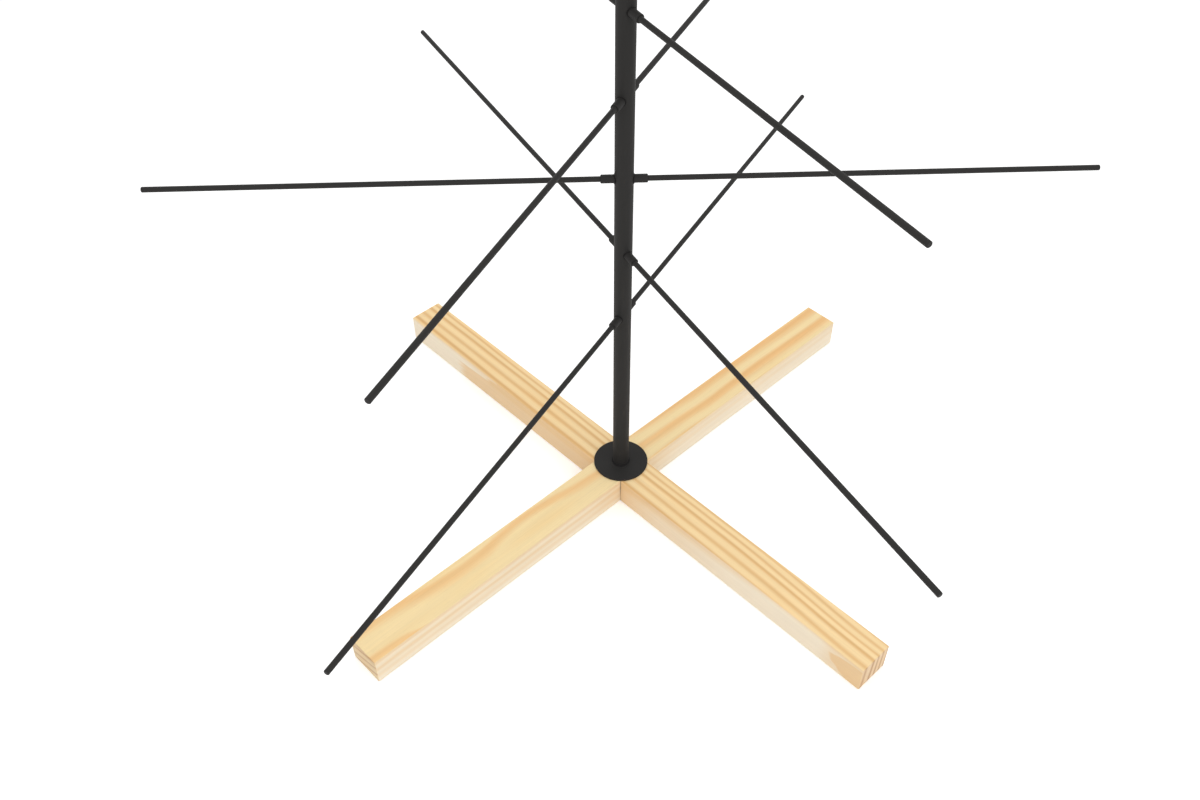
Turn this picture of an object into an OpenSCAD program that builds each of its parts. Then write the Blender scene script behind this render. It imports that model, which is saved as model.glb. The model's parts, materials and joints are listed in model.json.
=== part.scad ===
// Free-standing rod tree on a crossed pine foot.
// A round steel post carries tiers of thin rods. Each tier is a sleeve welded through
// the post, with one rod pushed into it from each side, and each tier is turned from
// the one below. The rods get shorter towards the top, so their tips lie on a cone.
// The post comes apart in the middle, and one bolt holds it to the foot.
// Origin: on the floor, on the axis of the post. +Z is up.

/* [Foot beams] */
// Length of each beam
beam_length = 890; // [700:10:1100]
// Width of each beam
beam_width = 52; // [44:1:70]
// Height of each beam
beam_height = 43; // [36:1:60]
// Radius of the eased edges of the beams
beam_ease = 2; // [0.5:0.5:4]
// Turn of the lower beam from the X axis, clockwise from above
foot_turn = 45; // [30:1:60]
// Gap beside each beam in the crossing
lap_gap = 0.4; // [0.1:0.05:0.6]

/* [Foot disc] */
// Diameter of the disc between the post and the beams
disc_diameter = 75; // [60:1:100]
// Thickness of the disc
disc_thickness = 2.5; // [1.5:0.5:5]
// Size of the weld fillet round the foot of the post
weld_size = 1.5; // [1:0.5:5]

/* [Clamp bolt] */
// Diameter of the bolt that holds the foot to the post
bolt_diameter = 8; // [6:1:10]
// Width of the bolt's head across its flats
bolt_head_flats = 13; // [13:1:17]
// Height of the bolt's head
bolt_head_height = 5.3; // [4:0.1:6.5]
// Diameter of the washer
washer_diameter = 24; // [20:1:30]
// Thickness of the washer
washer_thickness = 2; // [1:0.5:2.5]
// Depth of the recess for the bolt's head under the foot
recess_depth = 10; // [9.5:0.5:14]
// Height of the threaded insert in the foot of the post
insert_height = 20; // [15:1:40]

/* [Post] */
// Diameter of the post
post_diameter = 22; // [20:0.5:28]
// Wall of the post
post_wall = 1.5; // [1:0.1:2]
// Bare post above the highest tier
top_clear = 163; // [60:1:300]

/* [Tiers] */
// Number of tiers
tiers = 14; // [8:1:18]
// Tiers on the lower section of the post
lower_tiers = 6; // [3:1:7]
// Tiers at the bottom that share the longest rods
full_tiers = 2; // [1:1:4]
// Height of the lowest tier
first_tier = 320; // [200:1:450]
// Height from one tier to the next
tier_pitch = 101; // [90:1:130]
// Turn of the lowest tier from the X axis
first_turn = 63; // [0:1:90]
// Turn from one tier to the next
tier_turn = 60; // [15:1:90]

/* [Scatter of the lowest tiers] */
// Largest error in the angle of a tier
angle_scatter = 3; // [0:0.5:5]
// Largest error in the height of a tier
height_scatter = 2.4; // [0:0.2:6]
// Largest slide of a pair of rods along their sleeve
slide_scatter = 15; // [0:1:18]

/* [Sleeves] */
// Diameter of the sleeves
sleeve_diameter = 10; // [9:0.5:12]
// How far a sleeve stands out of the post
sleeve_reach = 15.6; // [8:0.2:25]
// Chamfer of the sleeve ends
sleeve_chamfer = 0.6; // [0.2:0.1:0.8]
// Size of the weld bead where a sleeve leaves the post
bead_size = 0.6; // [0.4:0.1:2]

/* [Rods] */
// Diameter of the rods
rod_diameter = 6.4; // [5:0.2:7]
// Distance from the post's axis to the tips of the longest rods
longest_reach = 579; // [400:1:700]
// Distance from the post's axis to the tips of the shortest rods
shortest_reach = 73; // [60:1:200]
// Chamfer of the rod ends
rod_chamfer = 0.6; // [0.2:0.1:1.5]
// Gap between the inner ends of the two rods of a tier
rod_end_gap = 0.5; // [0.2:0.1:2]

/* [Post joint] */
// Depth of the joiner in each section of the post
joiner_depth = 35; // [20:1:38]
// Thickness of the joiner's collar, which shows between the sections
joiner_collar = 2; // [1:0.5:5]
// Wall of the joiner
joiner_wall = 2; // [1.5:0.1:3]

/* [Top plug] */
// Height of the plug's domed head
plug_head = 4; // [2:0.5:8]
// Depth of the plug in the post
plug_depth = 16; // [8:1:30]
// Wall of the plug's skirt
plug_wall = 1.6; // [1:0.1:3]

/* [Fits] */
// Clearance round a rod in its sleeve
rod_fit = 0.05; // [0.02:0.01:0.1]
// Clearance round the joiner, the insert and the plug in the post
bore_fit = 0.05; // [0.02:0.01:0.1]
// Clearance round a sleeve in the wall of the post
sleeve_fit = 0.05; // [0.02:0.01:0.2]
// Clearance between the welds and the post
weld_fit = 0.05; // [0.02:0.01:0.2]
// Clearance round the bolt in the insert's thread
thread_fit = 0.05; // [0.02:0.01:0.1]
// Clearance round the bolt in the beams and the disc
bolt_room = 0.5; // [0.3:0.1:1]
// Clearance round the washer in its recess
recess_room = 2; // [1:0.5:3]

/* [Hidden] */
$fn = 96;

// The share of each scatter that each of the hand-drilled lowest tiers has, lowest
// first. A pair slides towards its side a, or with a share below zero towards side b.
angle_shares = [-0.4, -0.8, 0.05, 1, -0.2];
height_shares = [-0.8, -1, -0.45, 0.9, 0.75];
slide_shares = [-0.3, 1, 0, 0.1, -0.6];

// Cuts run this far past the faces that they open.
past = 1;
// Straight pieces of a rounded profile.
round_steps = 8;

post_radius = post_diameter / 2;
bore_radius = post_radius - post_wall;
core_radius = bore_radius - bore_fit;
disc_radius = disc_diameter / 2;
disc_edge = disc_thickness / 5;
disc_base = beam_height;
disc_top = disc_base + disc_thickness;

bolt_radius = bolt_diameter / 2;
bolt_hole_radius = bolt_radius + bolt_room;
washer_base = recess_depth - washer_thickness;
head_base = washer_base - bolt_head_height;
bolt_tip = disc_top + insert_height - bolt_radius / 2;
bolt_chamfer = bolt_diameter / 10;
recess_radius = washer_diameter / 2 + recess_room;

sleeve_radius = sleeve_diameter / 2;
sleeve_end = post_radius + sleeve_reach;
rod_radius = rod_diameter / 2;
rod_bore_radius = rod_radius + rod_fit;
rod_step = (longest_reach - shortest_reach) / (tiers - full_tiers);

joint_z = first_tier + (lower_tiers - 0.5) * tier_pitch;
joiner_chamfer = joiner_wall / 2;
lower_post_top = joint_z - joiner_collar / 2;
upper_post_base = joint_z + joiner_collar / 2;
post_top = first_tier + (tiers - 1) * tier_pitch + top_clear;

function scatter(size, shares, i) = i <= len(shares) ? size * shares[i - 1] : 0;
function tier_z(i) = first_tier + (i - 1) * tier_pitch + scatter(height_scatter, height_shares, i);
function tier_angle(i) = first_turn + (i - 1) * tier_turn + scatter(angle_scatter, angle_shares, i);
function tier_reach(i) = longest_reach - max(0, i - full_tiers) * rod_step;
function slide_to(i, side) = (side == "a" ? 1 : -1) * scatter(slide_scatter, slide_shares, i);

// Points of a quarter circle round a centre, from one angle to another.
function arc(centre, radius, from, to) = [
    for (k = [0:round_steps])
        let (angle = from + (to - from) * k / round_steps)
        centre + radius * [cos(angle), sin(angle)]
];

function two_digits(i) = str(i < 10 ? "0" : "", i);
function sleeve_name(i) = str("rod_sleeve_", two_digits(i));
function rod_name(i, side) = str("rod_", two_digits(i), "_", side);

// A rectangle with round corners, made of true arcs.
module round_rectangle(width, height, radius) {
    square([width - 2 * radius, height], center = true);
    square([width, height - 2 * radius], center = true);
    for (x = [-1, 1], y = [-1, 1])
        translate([x * (width / 2 - radius), y * (height / 2 - radius)])
            circle(radius);
}

// A whole beam along X, standing on the floor, with all of its edges eased.
module beam_blank() {
    translate([0, 0, beam_height / 2])
        intersection() {
            rotate([90, 0, 90])
                linear_extrude(beam_length, center = true)
                    round_rectangle(beam_width, beam_height, beam_ease);
            linear_extrude(beam_height, center = true)
                round_rectangle(beam_length, beam_width, beam_ease);
            rotate([90, 0, 0])
                linear_extrude(beam_width, center = true)
                    round_rectangle(beam_length, beam_height, beam_ease);
        }
}

// The half of a beam that is cut away in the crossing, above or below mid height.
module lap_cut(above) {
    crossing = beam_width + 2 * lap_gap;
    base = above ? beam_height / 2 : -past;
    translate([-crossing / 2, -beam_width, base])
        cube([crossing, 2 * beam_width, beam_height / 2 + past]);
}

module bolt_hole() {
    translate([0, 0, -past])
        cylinder(r = bolt_hole_radius, h = beam_height + 2 * past);
}

// The lower beam passes under the other one, and holds the recess for the bolt.
module lower_beam() {
    color([0.90, 0.75, 0.51])
        rotate(-foot_turn)
            difference() {
                beam_blank();
                rotate(2 * foot_turn - 90) lap_cut(above = true);
                bolt_hole();
                translate([0, 0, -past]) cylinder(r = recess_radius, h = recess_depth + past);
            }
}

module upper_beam() {
    color([0.93, 0.80, 0.57])
        rotate(foot_turn)
            difference() {
                beam_blank();
                rotate(90 - 2 * foot_turn) lap_cut(above = false);
                bolt_hole();
            }
}

// A hexagon head, with its corners chamfered at 30 degrees on the face below.
module bolt_head() {
    flat_radius = bolt_head_flats / 2;
    corner_radius = flat_radius / cos(30);
    translate([0, 0, head_base])
        intersection() {
            cylinder(r = corner_radius, h = bolt_head_height, $fn = 6);
            rotate_extrude()
                polygon([
                    [0, 0],
                    [flat_radius, 0],
                    [corner_radius, (corner_radius - flat_radius) * tan(30)],
                    [corner_radius, bolt_head_height],
                    [0, bolt_head_height]
                ]);
        }
}

module clamp_bolt() {
    color([0.72, 0.73, 0.75]) {
        bolt_head();
        rotate_extrude()
            polygon([
                [0, head_base + bolt_head_height / 2],
                [bolt_radius, head_base + bolt_head_height / 2],
                [bolt_radius, bolt_tip - bolt_chamfer],
                [bolt_radius - bolt_chamfer, bolt_tip],
                [0, bolt_tip]
            ]);
    }
}

module bolt_washer() {
    color([0.72, 0.73, 0.75])
        translate([0, 0, washer_base])
            difference() {
                cylinder(r = washer_diameter / 2, h = washer_thickness);
                translate([0, 0, -past])
                    cylinder(r = bolt_hole_radius, h = washer_thickness + 2 * past);
            }
}

// The disc on the crossing, with the hollow weld fillet that ties it to the post.
module foot_disc() {
    weld_inner = post_radius + weld_fit;
    weld_outer = weld_inner + weld_size;
    color([0.16, 0.16, 0.16])
        rotate_extrude()
            polygon(concat(
                [[bolt_hole_radius, disc_base], [disc_radius - disc_edge, disc_base]],
                [[disc_radius, disc_base + disc_edge], [disc_radius, disc_top - disc_edge]],
                [[disc_radius - disc_edge, disc_top]],
                arc([weld_outer, disc_top + weld_size], weld_size, -90, -180),
                [[weld_inner, disc_top], [bolt_hole_radius, disc_top]]
            ));
}

module foot_insert() {
    color([0.72, 0.73, 0.75])
        translate([0, 0, disc_top])
            difference() {
                cylinder(r = core_radius, h = insert_height);
                translate([0, 0, -past])
                    cylinder(r = bolt_radius + thread_fit, h = insert_height + 2 * past);
            }
}

// Puts what lies along Z on the axis of a tier, pointing to its side a.
module at_tier(i) {
    translate([0, 0, tier_z(i)])
        rotate([0, 90, tier_angle(i)])
            children();
}

// A length of post between two heights, cross-drilled for the sleeves of its tiers.
module post_section(base, top, first, last) {
    color([0.17, 0.17, 0.165])
        difference() {
            translate([0, 0, base])
                cylinder(r = post_radius, h = top - base);
            translate([0, 0, base - past])
                cylinder(r = bore_radius, h = top - base + 2 * past);
            for (i = [first:last])
                at_tier(i)
                    cylinder(r = sleeve_radius + sleeve_fit, h = 2 * sleeve_end, center = true);
        }
}

module lower_post() {
    post_section(disc_top, lower_post_top, 1, lower_tiers);
}

module upper_post() {
    post_section(upper_post_base, post_top, lower_tiers + 1, tiers);
}

// A short tube inside both sections, with a collar that the sections meet on.
module post_joiner() {
    inner = core_radius - joiner_wall;
    color([0.17, 0.17, 0.165])
        rotate_extrude()
            polygon([
                [inner, joint_z - joiner_depth],
                [core_radius - joiner_chamfer, joint_z - joiner_depth],
                [core_radius, joint_z - joiner_depth + joiner_chamfer],
                [core_radius, lower_post_top],
                [post_radius, lower_post_top],
                [post_radius, upper_post_base],
                [core_radius, upper_post_base],
                [core_radius, joint_z + joiner_depth - joiner_chamfer],
                [core_radius - joiner_chamfer, joint_z + joiner_depth],
                [inner, joint_z + joiner_depth]
            ]);
}

module top_plug() {
    skirt_inner = core_radius - plug_wall;
    dome = min(plug_head, post_radius) / 2;
    color([0.13, 0.13, 0.13])
        rotate_extrude()
            polygon(concat(
                [[skirt_inner, post_top - plug_depth], [core_radius, post_top - plug_depth]],
                [[core_radius, post_top], [post_radius, post_top]],
                arc([post_radius - dome, post_top + plug_head - dome], dome, 0, 90),
                [[0, post_top + plug_head], [0, post_top], [skirt_inner, post_top]]
            ));
}

// A round bar on the axis of the post, past both sides of the sleeve of a tier.
module bar_at_tier(i, radius) {
    translate([0, 0, tier_z(i)])
        cylinder(r = radius, h = 2 * sleeve_end, center = true);
}

// The saddle-shaped weld beads where the sleeve of a tier leaves the post on each side.
module weld_beads(i) {
    difference() {
        intersection() {
            bar_at_tier(i, post_radius + bead_size);
            at_tier(i)
                cylinder(r = sleeve_radius + bead_size, h = 2 * sleeve_end, center = true);
        }
        bar_at_tier(i, post_radius + weld_fit);
        at_tier(i)
            cylinder(r = (sleeve_radius + rod_bore_radius) / 2, h = 2 * sleeve_end, center = true);
    }
}

// The sleeve of a tier, right through the post, bored for the rods, with its welds.
module rod_sleeve(i) {
    color([0.15, 0.15, 0.15]) {
        at_tier(i)
            rotate_extrude()
                polygon([
                    [rod_bore_radius, -sleeve_end],
                    [sleeve_radius - sleeve_chamfer, -sleeve_end],
                    [sleeve_radius, -sleeve_end + sleeve_chamfer],
                    [sleeve_radius, sleeve_end - sleeve_chamfer],
                    [sleeve_radius - sleeve_chamfer, sleeve_end],
                    [rod_bore_radius, sleeve_end]
                ]);
        weld_beads(i);
    }
}

// One rod of a tier, from the middle of the sleeve out to its tip.
module rod(i, side) {
    inner = rod_end_gap / 2 + slide_to(i, side);
    tip = tier_reach(i) + slide_to(i, side);
    color([0.19, 0.19, 0.185])
        at_tier(i)
            rotate([side == "a" ? 0 : 180, 0, 0])
                rotate_extrude()
                    polygon([
                        [0, inner],
                        [rod_radius - rod_chamfer, inner],
                        [rod_radius, inner + rod_chamfer],
                        [rod_radius, tip - rod_chamfer],
                        [rod_radius - rod_chamfer, tip],
                        [0, tip]
                    ]);
}

lower_beam();
upper_beam();
clamp_bolt();
bolt_washer();
foot_disc();
foot_insert();
lower_post();
post_joiner();
upper_post();
top_plug();
for (i = [1:tiers]) {
    rod_sleeve(i);
    rod(i, "a");
    rod(i, "b");
}
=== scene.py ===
"""Looks of the rod tree: pine foot, powder-coated steel, rippled welds, floor and light.

Every CAD object sits at the origin, so object coordinates are frame coordinates. The
grain of a beam is solid: it runs through the wood, and each face shows it as that face
cuts it. Lengths are metres, except in a beam's own axes, which are in millimetres.
"""
import json
import math

import bpy
import numpy as np
from mathutils import Matrix, Vector


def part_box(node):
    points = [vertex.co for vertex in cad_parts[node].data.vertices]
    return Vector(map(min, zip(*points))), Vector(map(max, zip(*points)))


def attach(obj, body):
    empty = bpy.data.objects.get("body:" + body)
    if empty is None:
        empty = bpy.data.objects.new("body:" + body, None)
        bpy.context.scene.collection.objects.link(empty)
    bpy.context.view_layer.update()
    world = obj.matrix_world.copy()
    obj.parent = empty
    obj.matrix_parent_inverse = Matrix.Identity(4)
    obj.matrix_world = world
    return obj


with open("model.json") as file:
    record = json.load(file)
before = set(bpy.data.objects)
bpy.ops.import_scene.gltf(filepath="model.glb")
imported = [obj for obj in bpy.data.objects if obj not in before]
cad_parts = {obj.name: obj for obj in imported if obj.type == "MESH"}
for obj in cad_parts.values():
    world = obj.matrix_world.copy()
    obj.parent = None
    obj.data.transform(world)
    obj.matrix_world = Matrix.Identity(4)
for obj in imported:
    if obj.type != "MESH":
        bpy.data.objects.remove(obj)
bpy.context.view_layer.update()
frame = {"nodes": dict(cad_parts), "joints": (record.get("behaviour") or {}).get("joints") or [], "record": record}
NODES = frame["nodes"]
BODIES = frame["record"]["behaviour"]["bodies"]
MM = 0.001

# Camera: 1.3 m up and a good metre from the post, looking down at the foot. Its angles
# are degrees, and its lens and sensor are in millimetres.
CAMERA_PLACE = (0.001, -1.1111, 1.3054)
CAMERA_PITCH = 45.731
CAMERA_YAW = 1.528
CAMERA_ROLL = -0.379
CAMERA_LENS = 35.83
CAMERA_SENSOR = 36.0
CAMERA_NEAREST = 0.05
CAMERA_FARTHEST = 100.0

# Beams: how each is turned from the X axis. The top's looks give way to those of a side
# or an end where the normal's part in that direction grows from the first value of
# FACE_BLEND to the second, which is on the eased edge.
LOWER_TURN = math.radians(-45)
UPPER_TURN = math.radians(45)
FACE_BLEND = (0.55, 0.9)

# Rings of the lower beam, in millimetres: where the first one meets the top, from the far
# edge, how far they lie apart beyond it and before it, how far they move across for each
# millimetre up and along, and how far and on what stretch they bend near the near end.
FIRST_RING = 20.5
FAR_RINGS = 9.8
NEAR_RINGS = 14.8
RING_LEAN = 0.05
RING_DRIFT = 0.0105
RING_BEND = 5.5
BEND_STRETCH = (260, 430)

# Near side of the lower beam, in millimetres along it from the post: where the long patch
# sets in and over what length it fades, where the short patch and the darker end set in,
# and where the rim under the top gets wide and narrow again.
LONG_PATCH_START = (-334, -310)
LONG_PATCH_FADE = 300.0
SHORT_PATCH_START = (390, 398)
DARK_END_START = (376, 400)
WIDE_RIM_START = (-330, -240)
WIDE_RIM_STOP = (320, 180)

# Rings of the upper beam, in millimetres: the widest that one and its dark band could get
# on the top, how far down the next one is, and how far down the first stripe of the sides
# and the next ones are.
WIDEST_RING = 100.0
WIDEST_BAND = 30.0
RING_DEPTH = 14.2
FIRST_STRIPE = 16.0
STRIPE_DEPTH = 13.5

# Welds: the sleeves' radius, the leg and ripples of each kind of run, and the steps in a
# ripple. Across a run with a leg of 1, the face is an arc over these degrees round the
# corner, and the root is the point behind the corner that closes it.
SLEEVE_RADIUS = 5 * MM
SLEEVE_WELD_LEG = 1.0 * MM
SLEEVE_WELD_RIPPLES = 14
FOOT_WELD_LEG = 1.8 * MM
FOOT_WELD_RIPPLES = 25
STEPS_IN_RIPPLE = 8
WELD_FACE = range(-20, 111, 13)
WELD_ROOT = (-0.35, -0.35)

# Light: at these levels a flat white top renders just under white. A lamp has its place,
# the point that it aims at, its diameter and its watts.
WORLD_LIGHT = 0.66
LAMPS = {
    "key": ((1.6, -1.8, 3.2), (0, 0, 0.3), 3.0, 32.0),
    "fill": ((-2.0, -1.2, 2.6), (0, 0, 0.3), 3.0, 16.0),
    "back": ((0.2, 2.4, 3.0), (0, 0, 0.3), 3.0, 22.0),
    "low": ((0.3, -2.0, 0.7), (0, 0, 0), 1.4, 3.0),
}

# Floor: how white it is, how much it shines by itself where it is seen, how far it
# reaches, how far under the beams it lies, and where its shadows give way to white.
FLOOR_WHITE = 0.95
FLOOR_LIFT = 0.3
FLOOR_REACH = 30.0
FLOOR_DROP = 0.1 * MM
SHADOW_FADE = (1.2, 2.4)
WHITE = (1, 1, 1, 1)


def screen(red, green, blue):
    """A colour for a node, from the 0 to 255 values that a screen shows."""
    def channel(value):
        share = value / 255
        return share / 12.92 if share <= 0.04045 else ((share + 0.055) / 1.055) ** 2.4
    return (channel(red), channel(green), channel(blue), 1.0)


# ---------------------------------------------------------------- nodes

class Field:
    """A value that differs from place to place: the output of a node, with arithmetic
    that adds the nodes for it."""

    def __init__(self, nodes, socket):
        self.nodes = nodes
        self.socket = socket

    def calc(self, operation, *values):
        return self.nodes.field("Math", *values, operation=operation)

    def __add__(self, other):
        return self.calc("ADD", self, other)

    def __sub__(self, other):
        return self.calc("SUBTRACT", self, other)

    def __rsub__(self, other):
        return self.calc("SUBTRACT", other, self)

    def __mul__(self, other):
        return self.calc("MULTIPLY", self, other)

    def __truediv__(self, other):
        return self.calc("DIVIDE", self, other)

    def __abs__(self):
        return self.calc("ABSOLUTE", self)

    __radd__ = __add__
    __rmul__ = __mul__

    def at_least(self, other):
        return self.calc("MAXIMUM", self, other)

    def at_most(self, other):
        return self.calc("MINIMUM", self, other)

    def squared(self):
        return self.calc("POWER", self, 2.0)

    def whole(self):
        """The whole number below."""
        return self.calc("FLOOR", self)

    def fraction(self):
        """How far it is above the whole number below."""
        return self.calc("FRACT", self)

    def off_whole(self):
        """How far it is from the nearest whole number."""
        return self.calc("PINGPONG", self, 0.5)

    def chance(self):
        """A number between 0 and 1 that looks drawn by chance for each value."""
        return self.nodes.fields("TexWhiteNoise", None, self, noise_dimensions="1D")["Value"]

    def ramp(self, low, high):
        """0 below low, 1 above high, and smooth between. High may be the lower one."""
        return self.nodes.field("MapRange", self, low, high, interpolation_type="SMOOTHSTEP")

    def fade(self, stops):
        """A factor that follows (position, level) stops, with straight pieces between."""
        made = self.nodes.node("ValToRGB", self)
        elements = made.color_ramp.elements
        while len(elements) < len(stops):
            elements.new(0.5)
        for element, (position, level) in zip(elements, stops):
            element.position = position
            element.color = (level, level, level, 1.0)
        return Field(self.nodes, made.outputs[0])

    def curve(self, points):
        """A smooth curve through (x, y) points with both between 0 and 1."""
        made = self.nodes.node("FloatCurve", 1.0, self)
        line = made.mapping.curves[0].points
        while len(line) < len(points):
            line.new(0.5, 0.5)
        for point, place in zip(line, points):
            point.location = place
        made.mapping.update()
        return Field(self.nodes, made.outputs[0])

    def noise(self, *grain, detail=2.0):
        """Smooth noise between 0 and 1 over a place. The grain is one length, or three
        for the three axes."""
        lengths = grain if len(grain) == 3 else grain * 3
        shares = tuple(1 / length for length in lengths)
        place = self.nodes.field("VectorMath", self, shares, operation="MULTIPLY")
        made = self.nodes.node("TexNoise", place)
        made.inputs["Scale"].default_value = 1.0
        made.inputs["Detail"].default_value = detail
        return Field(self.nodes, made.outputs[0])


class Nodes:
    """A node tree, with short calls for the nodes that this script adds to it."""

    def __init__(self, tree):
        self.tree = tree

    def put(self, socket, value):
        """Links a socket to a field, or sets it to a plain value."""
        if isinstance(value, Field):
            self.tree.links.new(value.socket, socket)
        else:
            socket.default_value = value

    def node(self, kind, *inputs, **settings):
        """A new node. The inputs go to its first sockets, and None skips one."""
        made = self.tree.nodes.new("ShaderNode" + kind)
        for name, value in settings.items():
            setattr(made, name, value)
        for socket, value in zip(made.inputs, inputs):
            if value is not None:
                self.put(socket, value)
        return made

    def field(self, kind, *inputs, **settings):
        """The first output of a new node."""
        return Field(self, self.node(kind, *inputs, **settings).outputs[0])

    def fields(self, kind, *inputs, **settings):
        """All outputs of a new node, by name."""
        made = self.node(kind, *inputs, **settings)
        return {output.name: Field(self, output) for output in made.outputs}

    def turned(self, vector, turn, scale=1.0, kind="POINT"):
        """A vector turned about the Z axis, and scaled."""
        made = self.node("Mapping", vector, vector_type=kind)
        made.inputs["Rotation"].default_value = (0, 0, turn)
        made.inputs["Scale"].default_value = (scale, scale, scale)
        return Field(self, made.outputs[0])

    def mix(self, factor, a, b, blend="MIX"):
        """Colour a with colour b laid over it."""
        made = self.node("Mix", factor, data_type="RGBA", blend_type=blend)
        colour_a, colour_b = made.inputs[6:8]
        self.put(colour_a, a)
        self.put(colour_b, b)
        return Field(self, made.outputs[2])

    def shade(self, colour, tone):
        """A colour times a tone, or times another colour."""
        return self.mix(1.0, colour, tone, "MULTIPLY")

    def bump(self, height, distance, strength):
        """The normal of a surface that has this relief."""
        made = self.node("Bump")
        made.inputs["Strength"].default_value = strength
        made.inputs["Distance"].default_value = distance
        self.put(made.inputs["Height"], height)
        return Field(self, made.outputs[0])


class Finish(Nodes):
    """The nodes of a new material."""

    def __init__(self, name):
        self.material = bpy.data.materials.new(name)
        self.material.use_nodes = True
        super().__init__(self.material.node_tree)
        self.shader = self.tree.nodes["Principled BSDF"]

    def place(self):
        """The place in the frame, in metres."""
        return self.fields("TexCoord")["Object"]

    def set(self, **sockets):
        """Sets sockets of the shader, by names such as base_color."""
        for name, value in sockets.items():
            label = name.replace("_", " ").title().replace("Ior", "IOR")
            self.put(self.shader.inputs[label], value)


# ---------------------------------------------------------------- pine

def beam_size(node, turn):
    """Length, width and height of a beam, in millimetres."""
    places = np.array([v.co for v in NODES[node].data.vertices])
    along = places[:, 0] * math.cos(turn) + places[:, 1] * math.sin(turn)
    across = places[:, 1] * math.cos(turn) - places[:, 0] * math.sin(turn)
    return tuple(float(np.ptp(a)) / MM for a in (along, across, places[:, 2]))


class Beam:
    """A beam's size and its own axes, in millimetres: u along it from the post, v across
    it to its far side, z up, and depth down from its top."""

    def __init__(self, finish, node, turn):
        self.length, self.width, self.height = beam_size(node, turn)
        source = finish.fields("TexCoord")
        self.place = finish.turned(source["Object"], -turn, scale=1 / MM)
        self.u, self.v, self.z = finish.fields("SeparateXYZ", self.place).values()
        self.depth = self.height - self.z
        facing = finish.fields("SeparateXYZ", finish.turned(source["Normal"], -turn, kind="NORMAL"))
        self.is_end = abs(facing["X"]).ramp(*FACE_BLEND)
        self.is_side = abs(facing["Y"]).ramp(*FACE_BLEND)


def ring_lines(beam):
    """One straight line of latewood for each ring, some stronger than others."""
    u, v, z = beam.u, beam.v, beam.z
    wobble = beam.place.noise(160, 26, 60, detail=1.0) - 0.5
    shift = u * RING_DRIFT + u.ramp(*BEND_STRETCH) * RING_BEND + wobble * 4.0 - z * RING_LEAN
    start = beam.width / 2 - FIRST_RING - RING_LEAN * beam.height
    reach = start - (v + shift)
    rings = reach.at_most(0.0) / FAR_RINGS + reach.at_least(0.0) / NEAR_RINGS + 0.5
    lines = rings.off_whole().fade([(0.0, 0.0), (0.16, 0.06), (0.32, 0.5), (0.43, 1.0), (0.5, 1.0)])
    return lines * (rings.whole().chance() * 0.4 + 0.7)


def near_patches(beam):
    """Latewood on the near side, which cuts along a ring: a long patch with a frayed start
    that fades out, a short one at the near end, and a rim along the top edge that is
    widest in the middle."""
    u, depth = beam.u, beam.depth
    fray = beam.place.noise(70, 12, 4.5, detail=3.0) - 0.5
    slanted = u - depth.ramp(14.5, 8.5) * 62.0 - depth.ramp(9, 0) * 30.0 + fray * 50.0
    fading = (u / LONG_PATCH_FADE).fade([
        (0.0, 0.8), (0.12, 0.72), (0.22, 0.56), (0.33, 0.36),
        (0.47, 0.32), (0.6, 0.16), (0.75, 0.04), (1.0, 0.0),
    ])
    long_patch = slanted.ramp(*LONG_PATCH_START) * fading

    off_centre = depth - ((u - 400.0) * 0.2 + 19.0)
    rounded = u - off_centre.squared() * 0.09 + fray * 16.0
    short_patch = rounded.ramp(*SHORT_PATCH_START) * 0.95
    dark_end = u.ramp(*DARK_END_START) * 0.38

    middle = u.ramp(*WIDE_RIM_STOP) * u.ramp(*WIDE_RIM_START)
    rim = depth.ramp(middle * 13.0 + 7.0, 0) * (middle * 0.15 + 0.4)
    return long_patch.at_least(short_patch.at_least(dark_end)) + rim


def standing_rings(beam):
    """Latewood of the lower beam, sawn with its rings standing: straight lines on all but
    the near side."""
    lines = ring_lines(beam)
    near = beam.v.ramp(0, -beam.width / 2)
    side = near_patches(beam) * near + lines * (1.0 - near)
    return {"top": lines, "side": side, "end": lines}


def wandering_streaks(beam, wobble):
    """Broad streaks along the top, dark at their far edge and fading towards the near
    side. Three curves along the beam give the place of one such edge, from the far side
    as a share of the width, and how wide a ring and its dark band are."""
    along = beam.u / beam.length + 0.5
    edge = along.curve([
        (0.0, 0.0), (0.05, 0.01), (0.14, 0.2), (0.21, 0.26), (0.27, 0.16),
        (0.32, 0.105), (0.36, 0.165), (0.42, 0.3), (0.57, 0.48), (0.64, 0.52),
        (0.7, 0.585), (0.76, 0.565), (0.86, 0.58), (0.94, 0.63), (1.0, 0.635),
    ])
    spread = WIDEST_RING * along.curve([
        (0.0, 0.44), (0.05, 0.46), (0.1, 0.54), (0.28, 0.56),
        (0.4, 0.48), (0.57, 0.28), (0.75, 0.27), (1.0, 0.275),
    ])
    band = WIDEST_BAND * along.curve([
        (0.0, 0.57), (0.2, 0.65), (0.28, 0.45), (0.34, 0.45),
        (0.42, 0.55), (0.6, 0.52), (0.8, 0.57), (1.0, 0.6),
    ])
    fray = beam.place.noise(60, 3.5, 3.5, detail=3.0)
    gap = edge * beam.width - beam.width / 2 + beam.v
    rings = gap / spread - beam.depth / RING_DEPTH + wobble * 0.08
    behind = (1.0 - rings.fraction()) * spread
    fall = behind.ramp(band * (fray * 0.4 + 0.8), 2.0)
    rise = behind.ramp(spread - 7.5, spread + 0.5)
    strength = beam.u.ramp(-20, 320) * 0.2 + 0.56 + fray * 0.2
    return fall.at_least(rise) * strength


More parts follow.
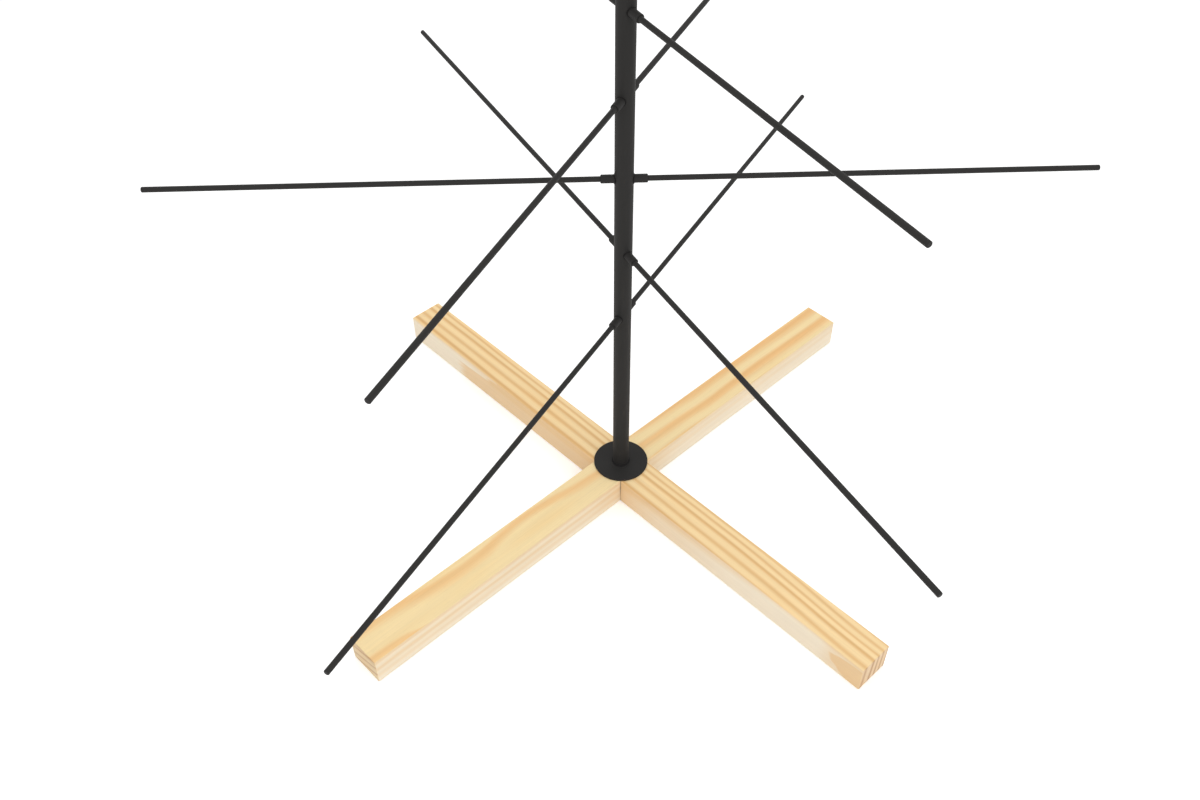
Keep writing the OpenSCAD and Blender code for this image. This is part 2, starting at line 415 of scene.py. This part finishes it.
def level_stripes(beam, wobble):
    """Level stripes along the sides, clearest to the left of the post. The sides get paler towards the bottom, as
    painted bounce light from the floor, and darker and warmer towards the crossing, as painted shade and bounce
    light between the beams."""
    u, depth = beam.u, beam.depth
    left = u.ramp(60, -60)
    right = 1.0 - left
    level = (depth - FIRST_STRIPE) / STRIPE_DEPTH + wobble * 0.25
    stripe = (0.5 - level.off_whole()).ramp(0.05, 0.5)
    stripe = stripe * (left * 0.38 + 0.28) * (depth.ramp(27, 21) * 0.5 + 0.5)
    # Painted bounce light from the floor: the latewood share falls towards the bottom, so the sides are paler
    # there.
    painted_bounce_left = depth.ramp(40, 27) * 0.35 * left
    painted_bounce_right = depth.ramp(38, 0) * 0.52 * right
    top_edge = depth.ramp(5, -1) * 0.45 * left
    # Painted shade and warm bounce light between the beams, near the crossing.
    crossing = abs(u).ramp(100, 40) * 0.2
    return stripe + painted_bounce_left + painted_bounce_right + top_edge + crossing


def lying_rings(beam):
    """Latewood of the upper beam, sawn with its rings lying. The ends also get darker along their top edge."""
    wobble = beam.place.noise(90, 20, 14) - 0.5
    streaks = wandering_streaks(beam, wobble)
    end = streaks + beam.depth.ramp(14, 4) * 0.35
    return {"top": streaks, "side": level_stripes(beam, wobble), "end": end}


def shoulder_line(beam):
    """The dark line of dust and shade where the beams meet at the shoulders of the lap."""
    away = abs(beam.u) - beam.width / 2
    up = beam.z.ramp(0.2 * beam.height, 0.6 * beam.height)
    return away.ramp(1.8, 0.6) * (up * 0.7 + 0.3)


def pine(name, node, turn, latewood, palette):
    """Planed pine with a matt clear coat. The function latewood says how dark its lines are on the top, the sides
    and the ends, and the palette has the earlywood's and the latewood's colour there, on the sides made paler as
    painted bounce light from the floor."""
    finish = Finish(name)
    beam = Beam(finish, node, turn)
    side, end = beam.is_side, beam.is_end
    lines = latewood(beam)
    wood = {face: finish.mix(lines[face], *palette[face]) for face in palette}
    colour = finish.mix(end, finish.mix(side, wood["top"], wood["side"]), wood["end"])

    fibre = beam.place.noise(70, 0.7, 0.7, detail=3.0) - 0.5
    silk = beam.place.noise(140, 5, 5) - 0.5
    cells = (beam.place.noise(400, 0.4, 0.4) - 0.5) * end
    ducts = beam.place.noise(11, 0.5, 0.5, detail=0.0).ramp(0.74, 0.80)
    tone = fibre * 0.16 + 1.0 + silk * 0.1 + cells * 0.3 - ducts * 0.1
    tone = tone * (1.0 - side * shoulder_line(beam) * 0.35)
    colour = finish.shade(colour, tone)
    blotch = beam.place.noise(170, 30, 30, detail=1.0).ramp(0.45, 0.75) * 0.4 * (1.0 - side)
    resinous = finish.shade(colour, screen(255, 241, 218))
    colour = finish.mix(blotch, colour, resinous)

    relief = fibre * 0.6 + lines["top"] * 0.35 - ducts * 0.5 + cells * 1.2
    finish.set(
        base_color=colour,
        roughness=0.56 - lines["top"] * 0.07 + fibre * 0.12,
        specular_ior_level=0.3,
        normal=finish.bump(relief, 0.08 * MM, 0.6),
    )
    return finish.material


# ---------------------------------------------------------------- metal and plastic

def powder_coat(name, colour, grain=0.9 * MM, shine=0.12):
    """Matt black powder coat: a fine orange peel, and a slow drift in depth of colour."""
    finish = Finish(name)
    place = finish.place()
    peel = place.noise(grain)
    grit = place.noise(0.22 * MM, detail=1.0)
    drift = place.noise(60 * MM)
    finish.set(
        base_color=finish.shade(colour, drift * 0.16 + 0.88 + grit * 0.08),
        roughness=peel * 0.16 + 0.50,
        specular_ior_level=shine,
        normal=finish.bump(peel + grit * 0.35, 0.05 * MM, 0.5),
    )
    return finish.material


def zinc_plate(name):
    """Bright zinc: a brushed grain under a slightly cloudy plating."""
    finish = Finish(name)
    place = finish.place()
    cloud = place.noise(3 * MM, detail=3.0)
    brushed = place.noise(4 * MM, 4 * MM, 0.12 * MM)
    finish.set(
        base_color=finish.mix(cloud, screen(196, 199, 204), screen(214, 212, 202)),
        metallic=1.0,
        roughness=cloud * 0.2 + 0.24,
        normal=finish.bump(brushed + cloud * 0.4, 0.02 * MM, 0.4),
    )
    return finish.material


def moulded_plastic(name):
    """Black moulded plastic with a fine spark-eroded grain."""
    finish = Finish(name)
    grain = finish.place().noise(0.35 * MM)
    finish.set(
        base_color=finish.shade(screen(40, 40, 41), grain * 0.2 + 0.9),
        roughness=grain * 0.12 + 0.46,
        specular_ior_level=0.35,
        normal=finish.bump(grain, 0.03 * MM, 0.6),
    )
    return finish.material


def dress_solids():
    """Gives each CAD object the finish of its slot."""
    # The sides' colours are the wood's, made paler and less saturated as painted bounce light from the white
    # floor.
    finishes = {
        "pine_lower": pine("pine_lower", "lower_beam", LOWER_TURN, standing_rings, {
            "top": (screen(249, 219, 167), screen(226, 181, 121)),
            "side": (screen(245, 230, 205), screen(236, 200, 150)),
            "end": (screen(238, 209, 170), screen(190, 145, 99)),
        }),
        "pine_upper": pine("pine_upper", "upper_beam", UPPER_TURN, lying_rings, {
            "top": (screen(246, 221, 169), screen(238, 186, 122)),
            "side": (screen(251, 237, 213), screen(241, 214, 173)),
            "end": (screen(230, 206, 166), screen(192, 150, 103)),
        }),
        "black_steel": powder_coat("black_steel", screen(46, 45, 44)),
        "black_rod": powder_coat("black_rod", screen(48, 47, 46), grain=0.6 * MM),
        "zinc_steel": zinc_plate("zinc_steel"),
        "black_plastic": moulded_plastic("black_plastic"),
    }
    slot_of = {part["node"]: part["material_slot"] for part in frame["record"]["subparts"]}
    for node, obj in NODES.items():
        for slot in obj.material_slots:
            slot.material = finishes[slot_of[node]]


# ---------------------------------------------------------------- welds

def mesh_piece(name, points, faces, material, body, slot):
    """A smooth mesh that rides on a body."""
    mesh = bpy.data.meshes.new(name)
    mesh.from_pydata(points, [], faces)
    mesh.validate()
    mesh.polygons.foreach_set("use_smooth", [True] * len(mesh.polygons))
    mesh.materials.append(material)
    piece = bpy.data.objects.new(name, mesh)
    bpy.context.scene.collection.objects.link(piece)
    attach(piece, body)


def weld_section():
    """Outline across a run with a leg of 1."""
    face = [math.radians(degrees) for degrees in WELD_FACE]
    return [WELD_ROOT] + [(math.cos(a), math.sin(a)) for a in face]


def weld_size(turn, ripples):
    """How big a run is at a turn, as a share of its leg: ripples on a slow unevenness."""
    ripple = abs(math.sin(math.pi * ripples * turn)) ** 0.5
    slow = math.sin(2 * math.pi * (3 * turn + 0.2))
    quick = math.sin(2 * math.pi * (7 * turn + 0.6))
    uneven = 0.04 * slow + 0.03 * quick
    return 0.9 + 0.1 * ripple + uneven


def weld_run(corner, outward, upward, leg, ripples):
    """Points and faces of one closed run of weld. For a turn from 0 to 1, corner is the
    place in the corner that it fills, and outward and upward lead along its two walls."""
    section = weld_section()
    count = len(section)
    steps = ripples * STEPS_IN_RIPPLE
    points, faces = [], []
    for k in range(steps):
        turn = k / steps
        size = leg * weld_size(turn, ripples)
        base, out, up = corner(turn), outward(turn), upward(turn)
        points += [base + size * (p * out + q * up) for p, q in section]
        here = k * count
        there = (k + 1) % steps * count
        for j in range(count):
            after = (j + 1) % count
            faces.append((here + j, there + j, there + after, here + after))
    return points, faces


def foot_weld(post_radius, disc_top):
    """The weld between the post and the disc."""
    def around(turn):
        angle = 2 * math.pi * turn
        return Vector((math.cos(angle), math.sin(angle), 0))

    def corner(turn):
        return around(turn) * post_radius + Vector((0, 0, disc_top))

    def up(turn):
        return Vector((0, 0, 1))
    return weld_run(corner, around, up, FOOT_WELD_LEG, FOOT_WELD_RIPPLES)


def sleeve_weld(post_radius, direction, height):
    """The saddle-shaped weld where a sleeve leaves the post in a level direction."""
    side = Vector((-direction.y, direction.x, 0))
    up = Vector((0, 0, 1))

    def off_sleeve(turn):
        angle = 2 * math.pi * turn
        return math.cos(angle) * side + math.sin(angle) * up

    def corner(turn):
        across = SLEEVE_RADIUS * math.cos(2 * math.pi * turn)
        ahead = math.sqrt(post_radius ** 2 - across ** 2)
        return direction * ahead + SLEEVE_RADIUS * off_sleeve(turn) + up * height

    def off_post(turn):
        place = corner(turn)
        return Vector((place.x, place.y, 0)).normalized()
    return weld_run(corner, off_sleeve, off_post, SLEEVE_WELD_LEG, SLEEVE_WELD_RIPPLES)


def join_runs(runs):
    """Several closed runs as one list of points and one of faces."""
    points, faces = [], []
    for run_points, run_faces in runs:
        shift = len(points)
        points += run_points
        faces += [tuple(i + shift for i in face) for face in run_faces]
    return points, faces


def sleeve_facts():
    """Each sleeve's body, level direction and height. Its direction is that of side a."""
    pulls = {j["child"]: Vector(j["axis"]) for j in frame["joints"] if j["name"].endswith("_pull")}
    facts = []
    for body, members in BODIES.items():
        for node in members:
            if node.startswith("rod_sleeve_"):
                low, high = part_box(node)
                rod = "rod_" + node[-2:] + "_a"
                facts.append((body, pulls[rod].normalized(), (low.z + high.z) / 2))
    return facts


def make_welds():
    """Rippled welds over the plain ones of the solids: at the foot, and on both sides of
    the post at each sleeve."""
    # The welds' coat is darker than the post's: painted shade of the corners that they fill.
    material = powder_coat("weld_painted_shade", screen(33, 32, 32), grain=0.7 * MM, shine=0.08)
    low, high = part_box("lower_post")
    post_radius = (high.x - low.x) / 2
    disc_top = low.z
    for body, name in (("stand", "lower_sleeve_welds"), ("upper_section", "upper_sleeve_welds")):
        runs = [
            sleeve_weld(post_radius, direction * way, height)
            for owner, direction, height in sleeve_facts() if owner == body
            for way in (1, -1)
        ]
        mesh_piece(name, *join_runs(runs), material, body, "black_steel")
    mesh_piece("foot_weld", *foot_weld(post_radius, disc_top), material, "stand", "black_steel")


# ---------------------------------------------------------------- stage

def is_seen(nodes):
    """1 for camera, glossy and transmission rays, which see the white room, else 0."""
    ray = nodes.fields("LightPath")
    seen = ray["Is Camera Ray"].at_least(ray["Is Glossy Ray"])
    return seen.at_least(ray["Is Transmission Ray"])


def make_floor():
    """A white floor that keeps the soft shadow near the object and is plain white
    further out."""
    finish = Finish("floor_white")
    paint = (FLOOR_WHITE, FLOOR_WHITE, FLOOR_WHITE, 1)
    finish.set(base_color=paint, roughness=1.0, specular_ior_level=0.0)
    seen = is_seen(finish)
    lift = finish.field("Emission", WHITE, seen * FLOOR_LIFT)
    lit = finish.field("AddShader", Field(finish, finish.shader.outputs[0]), lift)
    plain = finish.field("Emission", WHITE, 1.0)
    distance = finish.fields("VectorMath", finish.place(), operation="LENGTH")["Value"]
    far = distance.ramp(*SHADOW_FADE) * seen
    output = finish.tree.nodes["Material Output"]
    finish.put(output.inputs["Surface"], finish.field("MixShader", far, lit, plain))

    mesh = bpy.data.meshes.new("floor")
    square = ((-1, -1), (1, -1), (1, 1), (-1, 1))
    corners = [(x * FLOOR_REACH, y * FLOOR_REACH, 0) for x, y in square]
    mesh.from_pydata(corners, [], [(0, 1, 2, 3)])
    mesh.materials.append(finish.material)
    floor = bpy.data.objects.new("floor", mesh)
    floor.location.z = -FLOOR_DROP
    bpy.context.scene.collection.objects.link(floor)


def make_world():
    """White where it is seen or mirrored, and a softer light on everything."""
    world = bpy.data.worlds.new("room")
    bpy.context.scene.world = world
    world.use_nodes = True
    nodes = Nodes(world.node_tree)
    background = nodes.tree.nodes["Background"]
    background.inputs["Color"].default_value = WHITE
    strength = nodes.field("MapRange", is_seen(nodes), 0.0, 1.0, WORLD_LIGHT, 1.0)
    nodes.put(background.inputs["Strength"], strength)


def make_lamp(name, place, aim, size, watts):
    lamp = bpy.data.lights.new(name, "AREA")
    lamp.shape = "DISK"
    lamp.size = size
    lamp.energy = watts
    holder = bpy.data.objects.new(name, lamp)
    holder.location = place
    holder.rotation_mode = "QUATERNION"
    holder.rotation_quaternion = (Vector(aim) - Vector(place)).to_track_quat("-Z", "Y")
    holder.visible_camera = False
    holder.visible_glossy = False
    bpy.context.scene.collection.objects.link(holder)


def make_camera():
    lens = bpy.data.cameras.new("camera")
    lens.lens = CAMERA_LENS
    lens.sensor_width = CAMERA_SENSOR
    lens.clip_start = CAMERA_NEAREST
    lens.clip_end = CAMERA_FARTHEST
    camera = bpy.data.objects.new("camera", lens)
    turn = Matrix.Rotation(math.radians(CAMERA_YAW), 3, "Z")
    tip = Matrix.Rotation(math.radians(90 - CAMERA_PITCH), 3, "X")
    roll = Matrix.Rotation(math.radians(CAMERA_ROLL), 3, "Z")
    camera.matrix_world = Matrix.Translation(CAMERA_PLACE) @ (turn @ tip @ roll).to_4x4()
    bpy.context.scene.collection.objects.link(camera)
    bpy.context.scene.camera = camera


# ---------------------------------------------------------------- putting it together

make_camera()
make_world()
make_floor()
for name, facts in LAMPS.items():
    make_lamp(name, *facts)
dress_solids()
make_welds()

bpy.context.scene.view_settings.view_transform = "Standard"
